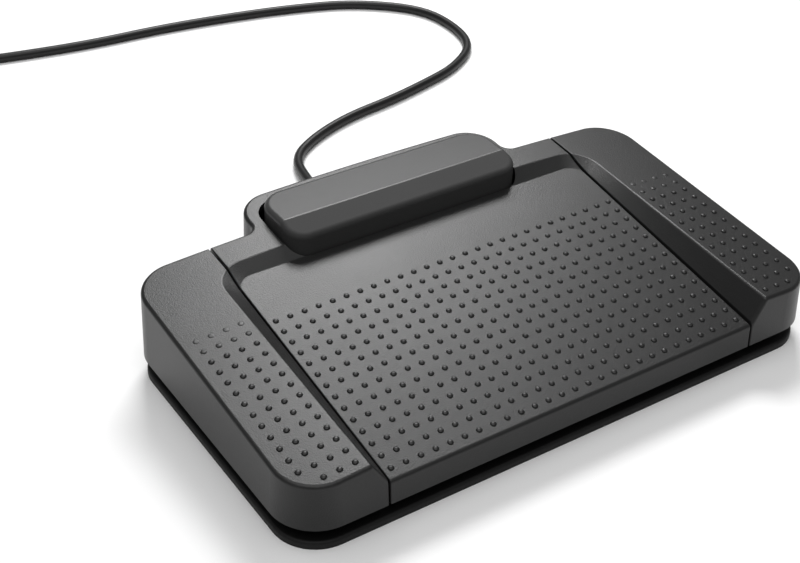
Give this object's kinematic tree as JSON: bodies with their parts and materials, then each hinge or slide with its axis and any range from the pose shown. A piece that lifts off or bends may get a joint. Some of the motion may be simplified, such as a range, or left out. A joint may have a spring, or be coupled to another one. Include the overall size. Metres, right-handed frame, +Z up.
{
  "type": "transcription foot control",
  "caption": "Low foot control with a wide studded centre pedal, a studded pedal at each side, a function bar at the back and a coiled lead with a plug.",
  "frame": {"origin": "centre of the footprint's bounding box without the lead, on the surface that the sole stands on", "axes": "+X to the user's right along the width, +Y from the front of the pedals to the cord at the back, +Z up"},
  "size_m": [0.3354, 0.395, 0.0447],
  "materials": {
    "pedal_plastic": "fine-grained matte charcoal",
    "bar_plastic": "fine-grained matte charcoal",
    "tray_plastic": "matte black",
    "sole_rubber": "matte black rubber",
    "nylon": "natural nylon",
    "magnet_nickel": "nickel-plated",
    "spring_steel": "drawn wire",
    "zinc_steel": "zinc-plated",
    "screw_steel": "zinc-plated",
    "ballast_steel": "rolled steel",
    "stop_rubber": "matte",
    "board_laminate": "solder-masked laminate",
    "chip_black": "moulded epoxy",
    "connector_white": "moulded",
    "cord_pvc": "satin black PVC",
    "tie_fabric": "black hook-and-loop tape",
    "plug_metal": "nickel-plated",
    "tongue_white": "moulded"
  },
  "bodies": {
    "base": {"ballast_plate": "ballast_steel", "ballast_screws": "screw_steel", "base_screws": "screw_steel", "base_tray": "tray_plastic", "board_screws": "screw_steel", "cable_clamp": "nylon", "cable_connector": "connector_white", "cable_socket": "connector_white", "centre_spring_left": "spring_steel", "centre_spring_right": "spring_steel", "circuit_board": "board_laminate", "clamp_screws": "screw_steel", "coil_tie": "tie_fabric", "controller_chip": "chip_black", "cord_coil": "cord_pvc", "cord_tail": "cord_pvc", "cord_tube": "cord_pvc", "front_stop_bumpers": "stop_rubber", "hall_sensors": "chip_black", "hinge_rod": "zinc_steel", "hinge_saddles": "zinc_steel", "inner_lead": "cord_pvc", "left_pedal_spring": "spring_steel", "plug_body": "cord_pvc", "plug_shell": "plug_metal", "plug_tongue": "tongue_white", "rear_stop_pads": "stop_rubber", "right_pedal_spring": "spring_steel", "rod_clips": "zinc_steel", "rubber_sole": "sole_rubber", "saddle_screws": "screw_steel", "strain_relief": "cord_pvc"},
    "left_pedal": {"left_pedal_bushes": "nylon", "left_pedal_cover": "pedal_plastic", "left_pedal_magnet": "magnet_nickel"},
    "centre_pedal": {"centre_pedal_bushes": "nylon", "centre_pedal_cover": "pedal_plastic", "centre_pedal_magnet": "magnet_nickel", "function_bar_springs": "spring_steel", "function_bar_stops": "stop_rubber"},
    "right_pedal": {"right_pedal_bushes": "nylon", "right_pedal_cover": "pedal_plastic", "right_pedal_magnet": "magnet_nickel"},
    "function_bar": {"function_bar_cap": "bar_plastic", "function_bar_magnet": "magnet_nickel", "function_bar_pins": "zinc_steel"}
  },
  "joints": [
    {"name": "left_pedal_hinge", "type": "hinge", "parent": "base", "child": "left_pedal", "pos_m": [0, 0.043, 0.018], "axis": [1, 0, 0], "range_deg": [0, 2], "stiffness_Nm_per_rad": 4, "springref_deg": -2.86, "deforming": ["left_pedal_spring"]},
    {"name": "centre_pedal_hinge", "type": "hinge", "parent": "base", "child": "centre_pedal", "pos_m": [0, 0.043, 0.018], "axis": [1, 0, 0], "range_deg": [0, 2], "stiffness_Nm_per_rad": 7.5, "springref_deg": -2.86, "deforming": ["centre_spring_left", "centre_spring_right"]},
    {"name": "right_pedal_hinge", "type": "hinge", "parent": "base", "child": "right_pedal", "pos_m": [0, 0.043, 0.018], "axis": [1, 0, 0], "range_deg": [0, 2], "stiffness_Nm_per_rad": 4, "springref_deg": -2.86, "deforming": ["right_pedal_spring"]},
    {"name": "function_bar_hinge", "type": "hinge", "parent": "centre_pedal", "child": "function_bar", "pos_m": [0, 0.0592, 0.0355], "axis": [1, 0, 0], "range_deg": [0, 4.5], "stiffness_Nm_per_rad": 0.9, "springref_deg": -3.44, "deforming": ["function_bar_springs"]}
  ]
}
